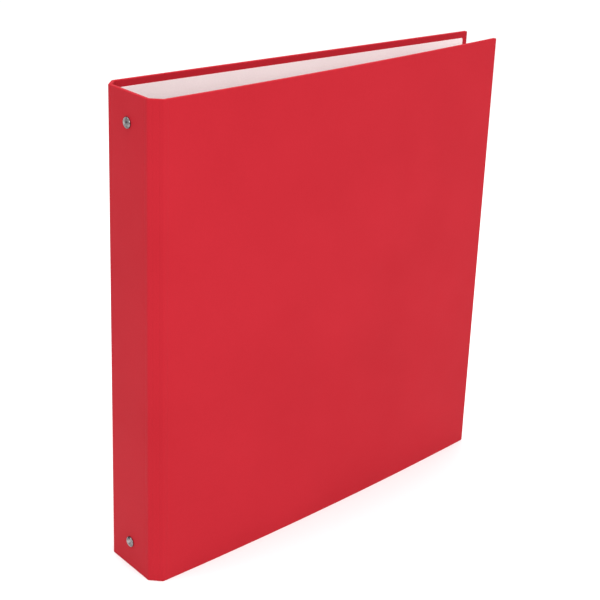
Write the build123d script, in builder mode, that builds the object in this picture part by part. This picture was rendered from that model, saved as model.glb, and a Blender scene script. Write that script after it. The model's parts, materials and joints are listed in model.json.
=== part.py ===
from build123d import *
import os
from dataclasses import dataclass
from math import acos, cos, degrees, hypot, radians, sin, sqrt, tan

# A three-ring binder of paper-covered board, standing on its lower edges with its covers closed.
# The origin is at the middle of the spine's bottom edge. +X runs from the spine to the fore-edge,
# the front cover is on the -Y side and +Z is up. Lengths are in millimetres, angles in degrees.

os.makedirs("parts", exist_ok=True)

# ---- Case: five panels of board, covered outside in red paper and lined inside
case_height = 292.1
cover_width = 266.0  # crease to fore-edge, straight across
spine_width = 36.6  # crease to crease
strip_run = 6.4  # each corner strip's reach in X and in Y
front_lean = 1.8  # how far each cover leans in towards its fore-edge
back_lean = 3.0
front_bow = 3.0  # how far the front cover bulges outwards; the back cover is flat
board_thickness = 1.7
paper_thickness = 0.2
liner_thickness = 0.2
turn_in = 14.0  # width of the paper folded over onto the inside
liner_margin = 4.1  # strip of turned-in paper that the liner leaves showing
crease_gap = 0.1  # from a crease's axis to the end of either panel

# ---- Ring housing: an arched channel of sheet steel
housing_length = 276.0
housing_width = 26.0
housing_height = 8.0
housing_wall_height = 4.4  # height of the straight sides, below the arch
housing_sheet = 0.9
lip_height = 1.8
lip_width = 2.6  # across the rolled lower edge, side wall included

# ---- Hinge plates: each turns about its outer edge, above the housing's lips
plate_thickness = 1.0
plate_pivot_height = 2.6
plate_pivot_clearance = 0.9  # from the housing's side walls to the plates' pivots
plate_centre_gap = 0.2  # from the centre plane to each plate's inner edge
plate_tilt = 4.7  # the plates dip by this much at the centre when the rings are closed
plate_end_gap = 5.6  # from the end of the housing to the end of the plates

# ---- Rings
ring_count = 3
ring_spacing = 108.0
ring_inner_diameter = 25.4
ring_wire = 3.0
ring_stub_inset = 2.8  # from the plate's pivot to where the half ring comes up through it
ring_stub_top = 5.0  # height at which the stub begins to bend outwards
ring_bend_radius = 3.0
ring_tip_gap = 0.1  # from the centre plane to either tip
ring_hole_clearance = 0.03
ring_head_radius = 1.8
ring_head_height = 1.2  # from the liner to the underside of the peened head
nib_radius = 0.6
nib_length = 0.7
nib_chamfer = 0.2
nib_clearance = 0.35
slot_clearance = 0.6  # along the housing, each side of the wire
slot_inner_reach = 2.2  # from the ring's stub towards the centre plane
slot_floor = 4.3

# ---- Rivets and the spacer tubes round them
rivet_spacing = 258.0
rivet_head_radius = 3.3
rivet_head_height = 1.7
rivet_shank_radius = 2.0
rivet_clearance = 0.03
rivet_flange_radius = 3.2
rivet_flange_height = 0.6
rivet_hollow_radius = 1.2
rivet_hollow_depth = 4.0
spacer_wall = 0.6
plate_notch_clearance = 0.6

# ---- Opening levers and their pins
lever_pin_inset = 2.2  # from the end of the housing
lever_pin_height = 3.2
lever_pin_radius = 0.8
lever_bore_clearance = 0.06
lever_pin_hole_clearance = 0.03
lever_pin_head_radius = 1.1
lever_pin_head_height = 0.6
lever_width = 14.0
lever_hub_radius = 1.7
lever_tab_height = 11.0
lever_tab_inner = 0.2  # the tab's faces, inward and outward of the pin
lever_tab_outer = 1.0
lever_corner_radius = 2.5
prong_inner_y = 4.0
prong_outer_y = 6.6
prong_floor = 0.35
prong_thickness = 0.9
prong_reach = 4.2
prong_web = 1.4
lever_notch_clearance = 0.7

# ---- Places worked out from the sizes above
wall = board_thickness + 2 * paper_thickness
lined_wall = wall + liner_thickness
spine_x = -wall / 2  # outer face of the spine
seat_x = spine_x + lined_wall  # inner face of the spine, which carries the mechanism
middle_z = case_height / 2
housing_low_z = middle_z - housing_length / 2
housing_inner_y = housing_width / 2 - housing_sheet  # inner face of the side walls
plate_pivot_y = housing_inner_y - plate_pivot_clearance
plate_reach = plate_pivot_y - plate_centre_gap
ring_stub_y = plate_pivot_y - ring_stub_inset
slot_inner_y = ring_stub_y - slot_inner_reach
slot_outer_y = housing_inner_y
ring_radius = (ring_inner_diameter + ring_wire) / 2
ring_bend = degrees(acos((ring_stub_y + ring_bend_radius) / (ring_radius + ring_bend_radius)))
ring_centre_x = (
    seat_x + ring_stub_top + (ring_radius + ring_bend_radius) * sin(radians(ring_bend))
)
ring_apex_x = ring_centre_x + ring_radius
ring_names = ("bottom", "middle", "top")
ring_zs = [middle_z + ring_spacing * (i - (ring_count - 1) / 2) for i in range(ring_count)]
ends = {"bottom": -1, "top": 1}
spacer_radius = rivet_shank_radius + spacer_wall
pivot_x = seat_x + plate_pivot_height
vault_rise = housing_height - housing_wall_height
vault_radius = ((housing_width / 2) ** 2 + vault_rise**2) / (2 * vault_rise)


@dataclass
class Panel:
    """One wall of the case. In its own plane x runs along the outer face and y runs inwards.

    A bend of None is a free edge, and any other bend is the angle of a mitred crease.
    """

    name: str
    start: tuple
    end: tuple
    start_bend: float | None
    end_bend: float | None
    bow: float = 0.0

    def width(self):
        return hypot(self.end[0] - self.start[0], self.end[1] - self.start[1])

    def plane(self, z):
        along = (self.end[0] - self.start[0], self.end[1] - self.start[1], 0)
        return Plane(origin=(self.start[0], self.start[1], z), x_dir=along, z_dir=(0, 0, 1))

    def trim(self, bend, depth, inset):
        """How far short of an end of the panel a layer stops at that depth."""
        if bend is None:
            return inset
        return crease_gap + depth * tan(radians(bend / 2))

    def point(self, x, depth):
        """The point at x, that far below the outer face, which is an arc where the panel bows."""
        if not self.bow:
            return (x, depth)
        half = self.width() / 2
        radius = (half**2 + self.bow**2) / (2 * self.bow)
        return (x, radius - self.bow - sqrt((radius - depth) ** 2 - (x - half) ** 2))

    def line(self, depth, inset):
        """Start, middle and end of the layer's face at that depth."""
        first = self.trim(self.start_bend, depth, inset)
        last = self.width() - self.trim(self.end_bend, depth, inset)
        return [self.point(x, depth) for x in (first, (first + last) / 2, last)]


def add_layer(panel, depths, heights, inset=0.0, mode=Mode.ADD):
    """Adds or cuts the part of a panel between two depths and two heights."""
    outer = panel.line(depths[0], inset)
    inner = panel.line(depths[1], inset)
    with BuildSketch(panel.plane(heights[0])) as profile:
        with BuildLine():
            for face in (outer, inner):
                if panel.bow:
                    ThreePointArc(*face)
                else:
                    Line(face[0], face[2])
            Line(outer[0], inner[0])
            Line(outer[2], inner[2])
        make_face()
    extrude(profile.sketch, amount=heights[1] - heights[0], mode=mode)


def bore_for_rivets(radius):
    """Cuts both rivet holes right through the part being built."""
    with BuildSketch(Plane.YZ.offset(seat_x)) as holes:
        with Locations(*[(0, middle_z + end * rivet_spacing / 2) for end in ends.values()]):
            Circle(radius)
    extrude(holes.sketch, amount=lined_wall + housing_height, both=True, mode=Mode.SUBTRACT)


def crease(side):
    """Where a corner strip meets its cover. side is -1 at the front and +1 at the back."""
    return (spine_x + strip_run, side * (spine_width / 2 + strip_run))


def fore_edge(side, lean):
    x, y = crease(side)
    reach = cover_width * cos(radians(lean))
    return (x + reach, y - side * cover_width * sin(radians(lean)))


# The panels run from the back cover's fore-edge round the spine to the front cover's fore-edge.
strip_bend = 45.0
spine_back = (spine_x, spine_width / 2)
spine_front = (spine_x, -spine_width / 2)
back_bend = strip_bend + back_lean
front_bend = strip_bend + front_lean
panels = [
    Panel("back_cover", fore_edge(1, back_lean), crease(1), None, back_bend),
    Panel("back_strip", crease(1), spine_back, back_bend, strip_bend),
    Panel("spine", spine_back, spine_front, strip_bend, strip_bend),
    Panel("front_strip", spine_front, crease(-1), strip_bend, front_bend),
    Panel("front_cover", crease(-1), fore_edge(-1, front_lean), front_bend, None, front_bow),
]

board_depths = (paper_thickness, wall - paper_thickness)
board_heights = (paper_thickness, case_height - paper_thickness)
window_heights = (turn_in, case_height - turn_in)
liner_heights = (liner_margin, case_height - liner_margin)
rivet_hole_radius = rivet_shank_radius + rivet_clearance

for panel in panels:
    # The covering paper: outer face and folded edges, open between the turned-in strips
    with BuildPart() as paper:
        add_layer(panel, (0, wall), (0, case_height))
        add_layer(panel, board_depths, board_heights, paper_thickness, Mode.SUBTRACT)
        add_layer(panel, (board_depths[1], wall), window_heights, turn_in, Mode.SUBTRACT)
        if panel.name == "spine":
            bore_for_rivets(rivet_hole_radius)
    paper.part.label = f"{panel.name}_paper"
    export_step(paper.part, f"parts/{paper.part.label}.step")

    with BuildPart() as board:
        add_layer(panel, board_depths, board_heights, paper_thickness)
        if panel.name == "spine":
            bore_for_rivets(rivet_hole_radius)
    board.part.label = f"{panel.name}_board"
    export_step(board.part, f"parts/{board.part.label}.step")

    # The liner: over the turned-in paper, and down onto the board between the strips
    with BuildPart() as liner:
        add_layer(panel, (wall, lined_wall), liner_heights, liner_margin)
        add_layer(panel, (board_depths[1], wall), window_heights, turn_in)
        if panel.name == "spine":
            bore_for_rivets(rivet_hole_radius)
    liner.part.label = f"{panel.name}_liner"
    export_step(liner.part, f"parts/{liner.part.label}.step")


# ---- Ring housing
with BuildPart() as ring_housing:
    with BuildSketch(Plane.XY.offset(housing_low_z)):
        for inset, mode in ((0, Mode.ADD), (housing_sheet, Mode.SUBTRACT)):
            half = housing_width / 2 - inset
            radius = vault_radius - inset
            shoulder = seat_x + housing_height - vault_radius + sqrt(radius**2 - half**2)
            crown = seat_x + housing_height - inset
            with BuildLine():
                Line((seat_x, half), (seat_x, -half))
                Line((seat_x, -half), (shoulder, -half))
                ThreePointArc((shoulder, -half), (crown, 0), (shoulder, half))
                Line((shoulder, half), (seat_x, half))
            make_face(mode=mode)
        lip_y = (housing_width - lip_width) / 2
        with Locations((seat_x + lip_height / 2, lip_y), (seat_x + lip_height / 2, -lip_y)):
            Rectangle(lip_height, lip_width)
    extrude(amount=housing_length)
    # Slots through the arch for the half rings
    with BuildSketch(Plane.YZ.offset(seat_x + slot_floor)):
        slot_y = (slot_inner_y + slot_outer_y) / 2
        with Locations(*[(side * slot_y, z) for side in (-1, 1) for z in ring_zs]):
            Rectangle(slot_outer_y - slot_inner_y, ring_wire + 2 * slot_clearance)
    extrude(amount=housing_height, mode=Mode.SUBTRACT)
    # Notches in the arch at both ends for the levers
    notch_length = lever_pin_inset + lever_hub_radius + lever_notch_clearance
    with BuildSketch(Plane.YZ.offset(seat_x + housing_wall_height)):
        notch_z = (housing_length - notch_length) / 2
        with Locations(*[(0, middle_z + end * notch_z) for end in ends.values()]):
            Rectangle(lever_width + 2 * lever_notch_clearance, notch_length)
    extrude(amount=housing_height, mode=Mode.SUBTRACT)
    # Holes for the lever pins and the rivets
    pin_offset = housing_length / 2 - lever_pin_inset
    with BuildSketch(Plane.XZ):
        pin_x = seat_x + lever_pin_height
        with Locations(*[(pin_x, middle_z + end * pin_offset) for end in ends.values()]):
            Circle(lever_pin_radius + lever_pin_hole_clearance)
    extrude(amount=housing_width, both=True, mode=Mode.SUBTRACT)
    bore_for_rivets(rivet_hole_radius)
ring_housing.part.label = "ring_housing"
export_step(ring_housing.part, "parts/ring_housing.step")


# ---- Hinge plates and half rings
sides = {"front": -1, "back": 1}
plate_length = housing_length - 2 * plate_end_gap


def plate_plane(side, z):
    """Lies across a hinge plate, with x from its pivot to its inner edge."""
    tilt = radians(plate_tilt)
    return Plane(
        origin=(pivot_x, side * plate_pivot_y, z),
        x_dir=(-sin(tilt), -side * cos(tilt), 0),
        z_dir=(0, 0, 1),
    )


for side_name, side in sides.items():
    with BuildPart() as hinge_plate:
        with BuildSketch(plate_plane(side, middle_z - plate_length / 2)):
            Circle(plate_thickness / 2)
            Rectangle(plate_reach, plate_thickness, align=(Align.MIN, Align.CENTER))
        extrude(amount=plate_length)
        with BuildSketch(Plane.YZ.offset(seat_x)):
            with Locations(*[(side * ring_stub_y, z) for z in ring_zs]):
                Circle(ring_wire / 2 + ring_hole_clearance)
        extrude(amount=housing_height, mode=Mode.SUBTRACT)
        bore_for_rivets(spacer_radius + plate_notch_clearance)
    hinge_plate.part.label = f"{side_name}_hinge_plate"
    export_step(hinge_plate.part, f"parts/{hinge_plate.part.label}.step")

    for ring_name, z in zip(ring_names, ring_zs):
        with BuildPart() as half_ring:
            # The peened head, cut to the underside of its plate
            with BuildSketch(Plane.YZ.offset(seat_x + ring_head_height)):
                with Locations((side * ring_stub_y, z)):
                    Circle(ring_head_radius)
            extrude(amount=plate_thickness)
            with BuildSketch(plate_plane(side, z - ring_wire)):
                Rectangle(plate_reach, plate_thickness, align=(Align.MIN, Align.CENTER))
            extrude(amount=2 * ring_wire, mode=Mode.SUBTRACT)
            # The wire: up through the plate, outwards, and round to the tip
            with BuildLine(Plane.XY.offset(z)) as wire_path:
                stub = Line(
                    (seat_x + ring_head_height, side * ring_stub_y),
                    (seat_x + ring_stub_top, side * ring_stub_y),
                )
                bend = JernArc(stub @ 1, stub % 1, ring_bend_radius, side * ring_bend)
                sweep_angle = 90 + ring_bend - degrees(ring_tip_gap / ring_radius)
                JernArc(bend @ 1, bend % 1, ring_radius, -side * sweep_angle)
            with BuildSketch(Plane(origin=wire_path.line @ 0, z_dir=wire_path.line % 0)):
                Circle(ring_wire / 2)
            sweep()
            # The front tip's nib sits in the back tip's socket
            with BuildSketch(Plane.XZ):
                with Locations((ring_apex_x, z)):
                    Circle(nib_radius if side < 0 else nib_radius + nib_clearance)
            if side < 0:
                extrude(amount=nib_length, both=True)
                tip_edges = half_ring.faces().sort_by(Axis.Y)[-1].edges()
                chamfer(tip_edges, nib_chamfer)
            else:
                extrude(amount=nib_length + nib_clearance, both=True, mode=Mode.SUBTRACT)
        half_ring.part.label = f"{side_name}_ring_{ring_name}"
        export_step(half_ring.part, f"parts/{half_ring.part.label}.step")


# ---- Rivets, spacers, levers and lever pins, one of each at the bottom and at the top
for end_name, end in ends.items():
    rivet_z = middle_z + end * rivet_spacing / 2
    pin_z = middle_z + end * pin_offset

    with BuildPart() as rivet:
        flange_x = seat_x + housing_height
        tail_x = flange_x + rivet_flange_height
        with BuildSketch(Plane(origin=(0, 0, rivet_z), x_dir=(1, 0, 0), z_dir=(0, 0, 1))):
            with BuildLine():
                head_x = spine_x - rivet_head_height
                dome_radius = (rivet_head_radius**2 + rivet_head_height**2) / (
                    2 * rivet_head_height
                )
                dome_y = rivet_head_radius / 2
                dome_x = head_x + dome_radius - sqrt(dome_radius**2 - dome_y**2)
                ThreePointArc((head_x, 0), (dome_x, dome_y), (spine_x, rivet_head_radius))
                Polyline(
                    (spine_x, rivet_head_radius),
                    (spine_x, rivet_shank_radius),
                    (flange_x, rivet_shank_radius),
                    (flange_x, rivet_flange_radius),
                    (tail_x, rivet_flange_radius),
                    (tail_x, rivet_hollow_radius),
                    (tail_x - rivet_hollow_depth, rivet_hollow_radius),
                    (tail_x - rivet_hollow_depth, 0),
                    (head_x, 0),
                )
            make_face()
        revolve(axis=Axis((0, 0, rivet_z), (1, 0, 0)))
    rivet.part.label = f"{end_name}_rivet"
    export_step(rivet.part, f"parts/{rivet.part.label}.step")

    # The spacer stops under the arch, where the arch is lowest over the tube's rim
    under_vault = vault_radius - housing_sheet
    spacer_drop = under_vault - sqrt(under_vault**2 - spacer_radius**2)
    with BuildPart() as spacer:
        with BuildSketch(Plane.YZ.offset(seat_x)):
            with Locations((0, rivet_z)):
                Circle(spacer_radius)
                Circle(rivet_hole_radius, mode=Mode.SUBTRACT)
        extrude(amount=housing_height - housing_sheet - spacer_drop)
    spacer.part.label = f"{end_name}_rivet_spacer"
    export_step(spacer.part, f"parts/{spacer.part.label}.step")

    with BuildPart() as lever:
        with BuildSketch(Plane.XZ):
            with Locations((pin_x, pin_z)):
                Circle(lever_hub_radius)
            tab_length = lever_tab_height - lever_pin_height
            tab_z = pin_z + end * (lever_tab_outer - lever_tab_inner) / 2
            with Locations((pin_x + tab_length / 2, tab_z)):
                Rectangle(tab_length, lever_tab_inner + lever_tab_outer)
        extrude(amount=lever_width / 2, both=True)
        tab_top = lever.faces().sort_by(Axis.X)[-1]
        fillet(tab_top.edges().filter_by(Axis.Z), lever_corner_radius)
        # Two prongs that reach under the hinge plates, each on a web below the hub
        for side in (-1, 1):
            with BuildSketch(Plane.XZ.offset(side * prong_inner_y)):
                with Locations((seat_x + prong_floor, pin_z)):
                    web_align = (Align.MIN, Align.MAX if end > 0 else Align.MIN)
                    Rectangle(lever_pin_height - prong_floor, prong_web, align=web_align)
                    Rectangle(prong_thickness, prong_reach, align=web_align)
            extrude(amount=side * (prong_outer_y - prong_inner_y))
        with BuildSketch(Plane.XZ):
            with Locations((pin_x, pin_z)):
                Circle(lever_pin_radius + lever_bore_clearance)
        extrude(amount=lever_width, both=True, mode=Mode.SUBTRACT)
    lever.part.label = f"{end_name}_lever"
    export_step(lever.part, f"parts/{lever.part.label}.step")

    with BuildPart() as lever_pin:
        with BuildSketch(Plane.XZ):
            with Locations((pin_x, pin_z)):
                Circle(lever_pin_radius)
        extrude(amount=housing_width / 2, both=True)
        for side in (-1, 1):
            with BuildSketch(Plane.XZ.offset(side * housing_width / 2)):
                with Locations((pin_x, pin_z)):
                    Circle(lever_pin_head_radius)
            extrude(amount=side * lever_pin_head_height)
    lever_pin.part.label = f"{end_name}_lever_pin"
    export_step(lever_pin.part, f"parts/{lever_pin.part.label}.step")
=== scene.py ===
import bmesh
import bpy
import json
from math import cos, pi, radians, sin, sqrt
from mathutils import Matrix, Vector


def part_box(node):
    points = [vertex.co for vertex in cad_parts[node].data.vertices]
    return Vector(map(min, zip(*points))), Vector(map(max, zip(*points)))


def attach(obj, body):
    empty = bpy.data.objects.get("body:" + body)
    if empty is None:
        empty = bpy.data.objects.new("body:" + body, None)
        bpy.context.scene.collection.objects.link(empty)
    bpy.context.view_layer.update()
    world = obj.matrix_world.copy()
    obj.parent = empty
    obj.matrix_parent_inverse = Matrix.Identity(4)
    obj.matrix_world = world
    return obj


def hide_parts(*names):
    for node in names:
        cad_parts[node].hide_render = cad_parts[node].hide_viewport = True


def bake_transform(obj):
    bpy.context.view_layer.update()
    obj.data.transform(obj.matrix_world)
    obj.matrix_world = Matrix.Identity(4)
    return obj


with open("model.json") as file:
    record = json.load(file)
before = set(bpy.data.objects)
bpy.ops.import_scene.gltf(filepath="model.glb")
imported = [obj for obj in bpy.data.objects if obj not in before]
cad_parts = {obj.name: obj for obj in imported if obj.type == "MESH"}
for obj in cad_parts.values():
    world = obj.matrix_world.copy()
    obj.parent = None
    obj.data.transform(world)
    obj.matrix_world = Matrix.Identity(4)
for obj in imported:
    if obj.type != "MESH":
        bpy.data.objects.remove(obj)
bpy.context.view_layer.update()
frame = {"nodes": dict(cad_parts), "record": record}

MM = 0.001
joints = {joint["name"]: joint for joint in frame["record"]["behaviour"]["joints"]}

# ---- Sizes of the case, read from the frame where it holds them. Lengths are in metres.
spine_low, spine_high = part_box("spine_paper")
WALL = spine_high.x - spine_low.x
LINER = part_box("spine_liner")[1].x - spine_high.x
LINER_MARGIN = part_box("spine_liner")[0].z - spine_low.z
STRIP_BEND = 45.0  # degrees between the spine and either strip
COVER_WIDTH = 266 * MM
FRONT_BOW = 3.0 * MM

# ---- Finish of the paper's folds
PAPER = 0.2 * MM
FOLD_RADIUS = 0.45 * MM  # along the folded edges
CORNER_RADIUS = 1.1 * MM  # at the covers' outer corners
CREASE_HALF = 2.5 * MM  # each crease's sleeve reaches this far over both panels
CREASE_SOFTNESS = 0.6 * MM
LINER_SINK = 0.02 * MM  # the liner is glued this far into the paper
LINER_RADIUS = 0.05 * MM

# ---- Fineness of the meshes
CORNER_STEPS = 4
FACE_ROWS = 30
CREASE_STEPS = 10  # on each side of the crease's line
COVER_STEPS = 48
NARROW_STEPS = 6  # along the spine and the strips
TURNED_SEGMENTS = 64
DOME_STEPS = 16
SMALLEST_RADIUS = 0.05 * MM
ROUNDEST_EDGE = 0.49  # most of a wall's thickness that one rounded corner may take
SHARP_ANGLE = radians(40)

# ---- Rivets. Where a value is a share, it is of the size that it rounds off.
RIVET_SHANK = 2.0 * MM
RIVET_FLANGE = 3.2 * MM
RIVET_FLANGE_HEIGHT = 0.6 * MM
RIVET_HOLLOW = 1.2 * MM
RIVET_HOLLOW_DEPTH = 4.0 * MM
RIVET_RIM = 0.18  # share of the head's height that is its upright rim
DOME_FULLNESS = 0.9  # under 1 gives a fuller dome than a half circle
HEAD_UNDERSIDE = 0.97
FLANGE_ROOT = 0.95
FLANGE_LIP = 0.92
FLANGE_ROUNDING = 0.25 * MM
LIP_ROUNDING = 0.1 * MM
HOLLOW_MOUTH = 1.5
HOLLOW_MOUTH_DEPTH = 0.3 * MM


# ---------------------------------------------------------------- meshes
class Panel:
    """One wall's outer face, seen from above: a straight or slightly bowed line."""

    def __init__(self, name, start, end, bow=0.0):
        self.name, self.start, self.bow = name, start, bow
        self.length = (end - start).length
        self.along = (end - start).normalized()
        self.inward = Vector((-self.along.y, self.along.x))

    def at(self, s):
        """The outer face's point at distance s, and the inward normal there."""
        if not self.bow:
            return self.start + self.along * s, self.inward
        half = self.length / 2
        radius = (half**2 + self.bow**2) / (2 * self.bow)
        centre = self.start + self.along * half + self.inward * (radius - self.bow)
        x = s - half
        outward = (self.along * x - self.inward * sqrt(radius**2 - x**2)) / radius
        return centre + outward * radius, -outward


def rounded_loop(depths, heights, radius):
    """A closed loop of (depth, height) points round an upright section with rounded corners."""
    (d0, d1), (z0, z1) = depths, heights
    radius = min(radius, (d1 - d0) * ROUNDEST_EDGE)
    loop = []
    corners = [(d0 + radius, z1 - radius, pi), (d1 - radius, z1 - radius, pi / 2)]
    corners += [(d1 - radius, z0 + radius, 0.0), (d0 + radius, z0 + radius, -pi / 2)]
    for index, (cd, cz, angle) in enumerate(corners):
        for step in range(CORNER_STEPS + 1):
            turn = angle - step * pi / 2 / CORNER_STEPS
            loop.append((cd + radius * cos(turn), cz + radius * sin(turn)))
        if index in (1, 3):  # rows of points down the inner face and up the outer face
            z_from, z_to = (z1, z0) if index == 1 else (z0, z1)
            sign = -1 if index == 1 else 1
            first, last = z_from + sign * radius, z_to - sign * radius
            depth = d1 if index == 1 else d0
            for row in range(1, FACE_ROWS):
                loop.append((depth, first + (last - first) * row / FACE_ROWS))
    return loop


def edge_inset(distance, radius):
    """How far a rounded edge stands back, that distance in from its tip."""
    if distance >= radius:
        return 0.0
    return radius - sqrt(radius**2 - (radius - distance) ** 2)


def loft(name, stations, depths, heights, radius, hollow=0.0):
    """A closed mesh along stations of (outer point, depth vector per unit, distance to a free edge).

    With hollow set it is a sleeve of that thickness, open where it meets the next one.
    """
    bm = bmesh.new()

    def ring_of(station, shell):
        outer, inward, free = station
        tip = edge_inset(free, radius) if free is not None else 0.0
        plan = edge_inset(free, CORNER_RADIUS) if free is not None else 0.0
        d = (depths[0] + tip + shell, depths[1] - tip - shell)
        z = (heights[0] + tip + plan + shell, heights[1] - tip - plan - shell)
        corner = max(radius - shell - tip, SMALLEST_RADIUS)
        points = rounded_loop(d, z, corner)
        return [bm.verts.new((*(outer + inward * depth), height)) for depth, height in points]

    def skin(rings):
        for a, b in zip(rings, rings[1:]):
            for i in range(len(a)):
                j = (i + 1) % len(a)
                bm.faces.new((a[i], a[j], b[j], b[i]))

    outer_rings = [ring_of(station, 0.0) for station in stations]
    skin(outer_rings)
    inner_stations = [s for s in stations if s[2] is None or s[2] >= hollow + radius]
    if hollow:
        inner_rings = [ring_of((s[0], s[1], None), hollow) for s in inner_stations]
        skin(inner_rings)
    for index in (0, -1):
        if hollow and stations[index] is inner_stations[index]:
            a, b = outer_rings[index], inner_rings[index]
            for i in range(len(a)):
                j = (i + 1) % len(a)
                bm.faces.new((a[i], a[j], b[j], b[i]))
        else:
            bm.faces.new(outer_rings[index])
            if hollow:
                bm.faces.new(inner_rings[index])
    bmesh.ops.recalc_face_normals(bm, faces=bm.faces)
    mesh = bpy.data.meshes.new(name)
    bm.to_mesh(mesh)
    bm.free()
    mesh.shade_smooth()
    piece = bpy.data.objects.new(name, mesh)
    bpy.context.scene.collection.objects.link(piece)
    normals = piece.modifiers.new("even normals", "WEIGHTED_NORMAL")
    normals.keep_sharp = True
    return piece


def panel_stations(panel, free_start, free_end, margin=0.0):
    """Stations along a panel, between its creases' sleeves and its free edge."""
    low = margin if free_start else CREASE_HALF
    high = panel.length - (margin if free_end else CREASE_HALF)
    corner_steps = range(1, CORNER_STEPS + 1)
    near = [0.0] + [FOLD_RADIUS * (1 - cos(k * pi / 2 / CORNER_STEPS)) for k in corner_steps]
    near += [FOLD_RADIUS + (CORNER_RADIUS - FOLD_RADIUS) * k / CORNER_STEPS for k in corner_steps]
    steps = COVER_STEPS if panel.name.endswith("cover") else NARROW_STEPS
    places = {low + (high - low) * i / steps for i in range(steps + 1)}
    if free_start:
        places = {s for s in places if s > low + CORNER_RADIUS} | {low + d for d in near}
    if free_end:
        places = {s for s in places if s < high - CORNER_RADIUS} | {high - d for d in near}
    stations = []
    for s in sorted(places):
        free = s - low if free_start else high - s if free_end else None
        stations.append((*panel.at(s), free))
    return stations


def crease_stations(a, b):
    """Stations of the sleeve over the crease from panel a's end to panel b's start."""
    corner, normal_a = a.at(a.length)
    normal_b = b.at(0)[1]
    middle = (normal_a + normal_b).normalized()
    inner_corner = corner + middle * (WALL / middle.dot(normal_a))
    ends = [a.at(a.length - CREASE_HALF), b.at(CREASE_HALF)]

    def path(points, t):
        """Straight from end to corner to end, softened near the corner. t runs from -1 to 1."""
        soft = CREASE_SOFTNESS / CREASE_HALF
        first, turn, last = points
        if abs(t) >= soft:
            return turn.lerp(first if t < 0 else last, abs(t))
        u = (t / soft + 1) / 2
        p, q = turn.lerp(first, soft), turn.lerp(last, soft)
        return p * (1 - u) ** 2 + turn * (2 * u * (1 - u)) + q * u**2

    outer = (ends[0][0], corner, ends[1][0])
    inner = (ends[0][0] + ends[0][1] * WALL, inner_corner, ends[1][0] + ends[1][1] * WALL)
    stations = []
    for step in range(-CREASE_STEPS, CREASE_STEPS + 1):
        t = step / CREASE_STEPS
        point = path(outer, t)
        stations.append((point, (path(inner, t) - point) / WALL, None))
    return stations


def lathe(name, profile, z):
    """A solid turned about the line through (0, z) along X, from (x, radius) points."""
    bm = bmesh.new()
    rings = []
    for x, radius in profile:
        if radius == 0:
            rings.append([bm.verts.new((x, 0, z))])
            continue
        turns = [2 * pi * k / TURNED_SEGMENTS for k in range(TURNED_SEGMENTS)]
        rings.append([bm.verts.new((x, radius * cos(t), z + radius * sin(t))) for t in turns])
    for a, b in zip(rings, rings[1:]):
        for i in range(TURNED_SEGMENTS):
            j = (i + 1) % TURNED_SEGMENTS
            if len(a) == 1:
                bm.faces.new((a[0], b[i], b[j]))
            elif len(b) == 1:
                bm.faces.new((a[i], a[j], b[0]))
            else:
                bm.faces.new((a[i], a[j], b[j], b[i]))
    bmesh.ops.recalc_face_normals(bm, faces=bm.faces)
    mesh = bpy.data.meshes.new(name)
    bm.to_mesh(mesh)
    bm.free()
    mesh.shade_smooth()
    mesh.set_sharp_from_angle(angle=SHARP_ANGLE)
    piece = bpy.data.objects.new(name, mesh)
    bpy.context.scene.collection.objects.link(piece)
    return piece


# ---------------------------------------------------------------- materials
class Finish:
    """A node material whose colour, roughness and grain vary over the surface."""

    def __init__(self, name, **constants):
        self.material = bpy.data.materials.new(name)
        self.material.use_nodes = True
        self.tree = self.material.node_tree
        self.shader = self.tree.nodes["Principled BSDF"]
        for socket, value in constants.items():
            self.shader.inputs[socket.replace("_", " ")].default_value = value
        self.place = self.tree.nodes.new("ShaderNodeTexCoord").outputs["Object"]

    def noise(self, scale, detail=3.0, stretch=(1, 1, 1)):
        mapping = self.tree.nodes.new("ShaderNodeMapping")
        mapping.inputs["Scale"].default_value = stretch
        self.tree.links.new(self.place, mapping.inputs["Vector"])
        node = self.tree.nodes.new("ShaderNodeTexNoise")
        node.inputs["Scale"].default_value = scale
        node.inputs["Detail"].default_value = detail
        self.tree.links.new(mapping.outputs["Vector"], node.inputs["Vector"])
        return node.outputs["Fac"]

    def ramp(self, value, low, high, at=(0.3, 0.7)):
        node = self.tree.nodes.new("ShaderNodeValToRGB")
        for element, place, colour in zip(node.color_ramp.elements, at, (low, high)):
            element.position = place
            element.color = (*colour, 1)
        self.tree.links.new(value, node.inputs["Fac"])
        return node.outputs["Color"]

    def mix(self, factor, a, b):
        node = self.tree.nodes.new("ShaderNodeMix")
        node.data_type = "RGBA"
        node.blend_type = "MULTIPLY"
        node.inputs["Factor"].default_value = factor
        self.tree.links.new(a, node.inputs["A"])
        self.tree.links.new(b, node.inputs["B"])
        return node.outputs["Result"]

    def spread(self, value, low, high):
        node = self.tree.nodes.new("ShaderNodeMapRange")
        node.inputs["To Min"].default_value = low
        node.inputs["To Max"].default_value = high
        self.tree.links.new(value, node.inputs["Value"])
        return node.outputs["Result"]

    def set(self, socket, value):
        self.tree.links.new(value, self.shader.inputs[socket])

    def bump(self, value, strength, distance):
        node = self.tree.nodes.new("ShaderNodeBump")
        node.inputs["Strength"].default_value = strength
        node.inputs["Distance"].default_value = distance
        self.tree.links.new(value, node.inputs["Height"])
        self.tree.links.new(node.outputs["Normal"], self.shader.inputs["Normal"])


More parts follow.
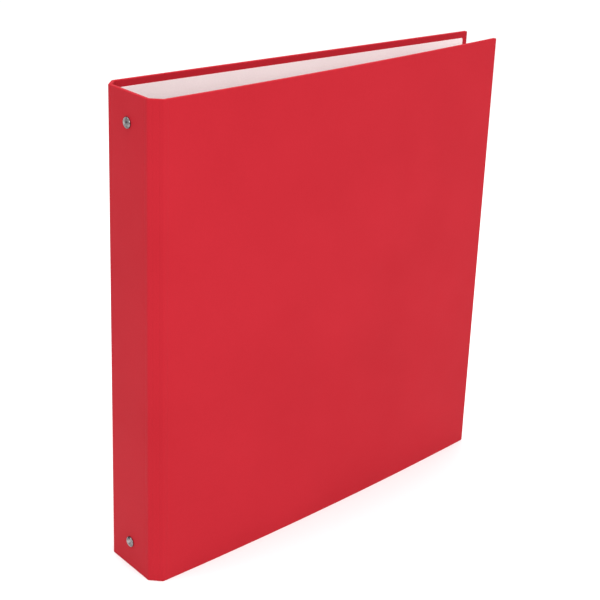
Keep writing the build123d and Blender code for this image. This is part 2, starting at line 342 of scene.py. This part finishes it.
def red_paper():
    """Smooth covering paper: a faint mottle, fine fibres and a soft sheen."""
    finish = Finish("red covering paper", Specular_IOR_Level=0.05)
    mottle = finish.ramp(finish.noise(14), (0.410, 0.0138, 0.0230), (0.440, 0.0158, 0.0262))
    fibres = finish.ramp(finish.noise(1500, 4), (0.93, 0.9, 0.9), (1, 1, 1))
    finish.set("Base Color", finish.mix(0.8, mottle, fibres))
    finish.set("Roughness", finish.spread(finish.noise(60), 0.50, 0.62))
    finish.bump(finish.noise(1900, 4, (1, 1, 0.6)), 0.22, 0.04 * MM)
    return finish.material


def liner_paper():
    """Uncoated off-white lining paper, very slightly pink."""
    finish = Finish("off-white lining paper", Specular_IOR_Level=0.2)
    tone = finish.ramp(finish.noise(22), (0.815, 0.705, 0.705), (0.855, 0.75, 0.75))
    fibres = finish.ramp(finish.noise(1200, 5), (0.94, 0.94, 0.94), (1, 1, 1))
    finish.set("Base Color", finish.mix(0.7, tone, fibres))
    finish.set("Roughness", finish.spread(finish.noise(80), 0.7, 0.85))
    finish.bump(finish.noise(1500, 5), 0.25, 0.04 * MM)
    return finish.material


def grey_board():
    """The pulp board inside the case, coarse and matt."""
    finish = Finish("grey board", Specular_IOR_Level=0.15)
    tone = finish.ramp(finish.noise(500, 6), (0.13, 0.12, 0.10), (0.24, 0.22, 0.19))
    finish.set("Base Color", tone)
    finish.set("Roughness", finish.spread(finish.noise(300), 0.85, 0.95))
    finish.bump(finish.noise(700, 6), 0.5, 0.1 * MM)
    return finish.material


BRIGHT_PLATE = ((0.34, 0.33, 0.32), (0.47, 0.46, 0.445))
# Dark tones for the rivets' nickel: a painted dark reflection of the surroundings, not a dulled finish of
# the metal
PAINTED_REFLECTION_PLATE = ((0.035, 0.03, 0.04), (0.36, 0.34, 0.34))


def nickel_steel(name, roughness, stretch=(1, 1, 1), tones=BRIGHT_PLATE, patches=90):
    """Nickel plate over drawn or rolled steel, with faint marks along the metal."""
    finish = Finish(name, Metallic=1.0)
    marks = finish.noise(900, 4, stretch)
    finish.set("Base Color", finish.ramp(finish.noise(patches), *tones))
    finish.set("Roughness", finish.spread(marks, roughness - 0.05, roughness + 0.07))
    finish.bump(marks, 0.08, 0.02 * MM)
    return finish.material


# ---------------------------------------------------------------- the case
def joint_place(name):
    x, y, _ = joints[name]["pos_m"]
    return Vector((x, y))


def fore_edge(side_name, side):
    """The outer end of a cover, which leans in by what its crease turns beyond the strip's bend."""
    lean = radians(joints[f"{side_name}_cover_crease"]["range_deg"][1] - STRIP_BEND)
    return joint_place(f"{side_name}_cover_crease") + COVER_WIDTH * Vector((cos(lean), -side * sin(lean)))


outline = [
    fore_edge("back", 1),
    joint_place("back_cover_crease"),
    joint_place("back_spine_crease"),
    joint_place("front_spine_crease"),
    joint_place("front_cover_crease"),
    fore_edge("front", -1),
]
names = ["back_cover", "back_strip", "spine", "front_strip", "front_cover"]
panels = [
    Panel(name, start, end, FRONT_BOW if name == "front_cover" else 0.0)
    for name, start, end in zip(names, outline, outline[1:])
]

paper_finish = red_paper()
liner_finish = liner_paper()
board_finish = grey_board()
sheet_finish = nickel_steel("nickel-plated sheet", 0.30, (1, 1, 0.05))
wire_finish = nickel_steel("nickel-plated wire", 0.20)
# The rivets get the darkened tones, so their dark patches are painted reflection
rivet_finish = nickel_steel("dulled nickel", 0.16, tones=PAINTED_REFLECTION_PLATE, patches=420)

wall_depths = (0.0, WALL)
wall_heights = (spine_low.z, spine_high.z)
liner_depths = (WALL - LINER_SINK, WALL + LINER)
liner_heights = (spine_low.z + LINER_MARGIN, spine_high.z - LINER_MARGIN)


def finish_piece(piece, material):
    piece.data.materials.append(material)
    return piece


for panel in panels:
    free_start, free_end = panel.name == "back_cover", panel.name == "front_cover"
    stations = panel_stations(panel, free_start, free_end)
    paper = loft(f"{panel.name}_wrap", stations, wall_depths, wall_heights, FOLD_RADIUS, PAPER)
    finish_piece(paper, paper_finish)
    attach(paper, panel.name)
    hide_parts(f"{panel.name}_paper")

    stations = panel_stations(panel, free_start, free_end, LINER_MARGIN)
    liner = loft(f"{panel.name}_lining", stations, liner_depths, liner_heights, LINER_RADIUS)
    finish_piece(liner, liner_finish)
    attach(liner, panel.name)
    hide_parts(f"{panel.name}_liner")

for a, b in zip(panels, panels[1:]):
    stations = crease_stations(a, b)
    for label, depths, heights, radius, hollow, material, slot in (
        ("crease", wall_depths, wall_heights, FOLD_RADIUS, PAPER, paper_finish, "cover_paper"),
        ("crease_lining", liner_depths, liner_heights, LINER_RADIUS, 0.0, liner_finish, "liner_paper"),
    ):
        piece = loft(f"{a.name}_{b.name}_{label}", stations, depths, heights, radius, hollow)
        finish_piece(piece, material)
        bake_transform(piece)

# ---------------------------------------------------------------- rivets and metalwork
def rivet_profile(low, high):
    """Points of (x, radius) from the dome's tip, down the shank and into the hollow inner end."""
    head_radius, head_height = (high.z - low.z) / 2, spine_low.x - low.x
    rim = RIVET_RIM * head_height
    profile = []
    for step in range(DOME_STEPS + 1):
        turn = step / DOME_STEPS * pi / 2
        rise = (head_height - rim) * cos(turn) ** DOME_FULLNESS
        profile.append((spine_low.x - rim - rise, head_radius * sin(turn)))
    flange_start, hollow_end = high.x - RIVET_FLANGE_HEIGHT, high.x - RIVET_HOLLOW_DEPTH
    profile += [(spine_low.x, head_radius * HEAD_UNDERSIDE), (spine_low.x, RIVET_SHANK)]
    profile += [(flange_start, RIVET_SHANK), (flange_start, RIVET_FLANGE * FLANGE_ROOT)]
    profile.append((flange_start + FLANGE_ROUNDING, RIVET_FLANGE))
    profile.append((high.x - LIP_ROUNDING, RIVET_FLANGE * FLANGE_LIP))
    profile.append((high.x, RIVET_HOLLOW * HOLLOW_MOUTH))
    profile.append((high.x - HOLLOW_MOUTH_DEPTH, RIVET_HOLLOW))
    return profile + [(hollow_end, RIVET_HOLLOW), (hollow_end, 0)]


for end_name in ("bottom", "top"):
    low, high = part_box(f"{end_name}_rivet")
    rivet = lathe(f"{end_name}_domed_rivet", rivet_profile(low, high), (low.z + high.z) / 2)
    finish_piece(rivet, rivet_finish)
    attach(rivet, "spine")
    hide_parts(f"{end_name}_rivet")

for name, node in frame["nodes"].items():
    if name.endswith("_board"):
        material = board_finish
    elif "_ring_" in name or name.endswith(("_pin", "_rivet", "_spacer")):
        material = wire_finish
    elif name.endswith(("_paper", "_liner")):
        material = paper_finish if name.endswith("_paper") else liner_finish
    else:
        material = sheet_finish
    for slot in node.material_slots:
        slot.material = material

# ---------------------------------------------------------------- floor, light and camera
FLOOR_RADIUS = 12
bpy.ops.mesh.primitive_circle_add(
    vertices=96, radius=FLOOR_RADIUS, fill_type="NGON", location=(0, 0, spine_low.z)
)
floor = bpy.context.object
floor.name = "floor"
floor_finish = Finish("pale floor", Roughness=0.9, Specular_IOR_Level=0.0)
floor_finish.set("Base Color", floor_finish.ramp(floor_finish.noise(2), (0.945,) * 3, (0.955,) * 3))
floor.data.materials.append(floor_finish.material)

world = bpy.data.worlds.new("studio")
world.use_nodes = True
world.node_tree.nodes["Background"].inputs["Color"].default_value = (1, 1, 1, 1)
world.node_tree.nodes["Background"].inputs["Strength"].default_value = 0.95
bpy.context.scene.world = world


def softbox(name, place, aim, size, power):
    lamp = bpy.data.lights.new(name, "AREA")
    lamp.size, lamp.energy = size, power
    light = bpy.data.objects.new(name, lamp)
    light.location = place
    light.rotation_euler = (Vector(aim) - Vector(place)).to_track_quat("-Z", "Y").to_euler()
    bpy.context.scene.collection.objects.link(light)


softbox("key", (-0.20, -0.98, 0.80), (0.02, 0, 0.2), 0.6, 5.2)
softbox("top", (0.05, 0.05, 1.6), (0.1, 0, 0), 1.2, 16.5)

camera_data = bpy.data.cameras.new("camera")
camera_data.sensor_width = 36.0
camera_data.lens = 80.06
camera_data.shift_y = -0.15
camera = bpy.data.objects.new("camera", camera_data)
camera.location = (-0.3801, -0.5699, 0.4719)
look = Vector((0.6232, 0.7061, -0.3363))
CAMERA_ROLL = radians(2.19)
turn = look.to_track_quat("-Z", "Y").to_matrix() @ Matrix.Rotation(CAMERA_ROLL, 3, "Z")
camera.rotation_euler = turn.to_euler()
bpy.context.scene.collection.objects.link(camera)
bpy.context.scene.camera = camera
bpy.context.scene.view_settings.view_transform = "Standard"
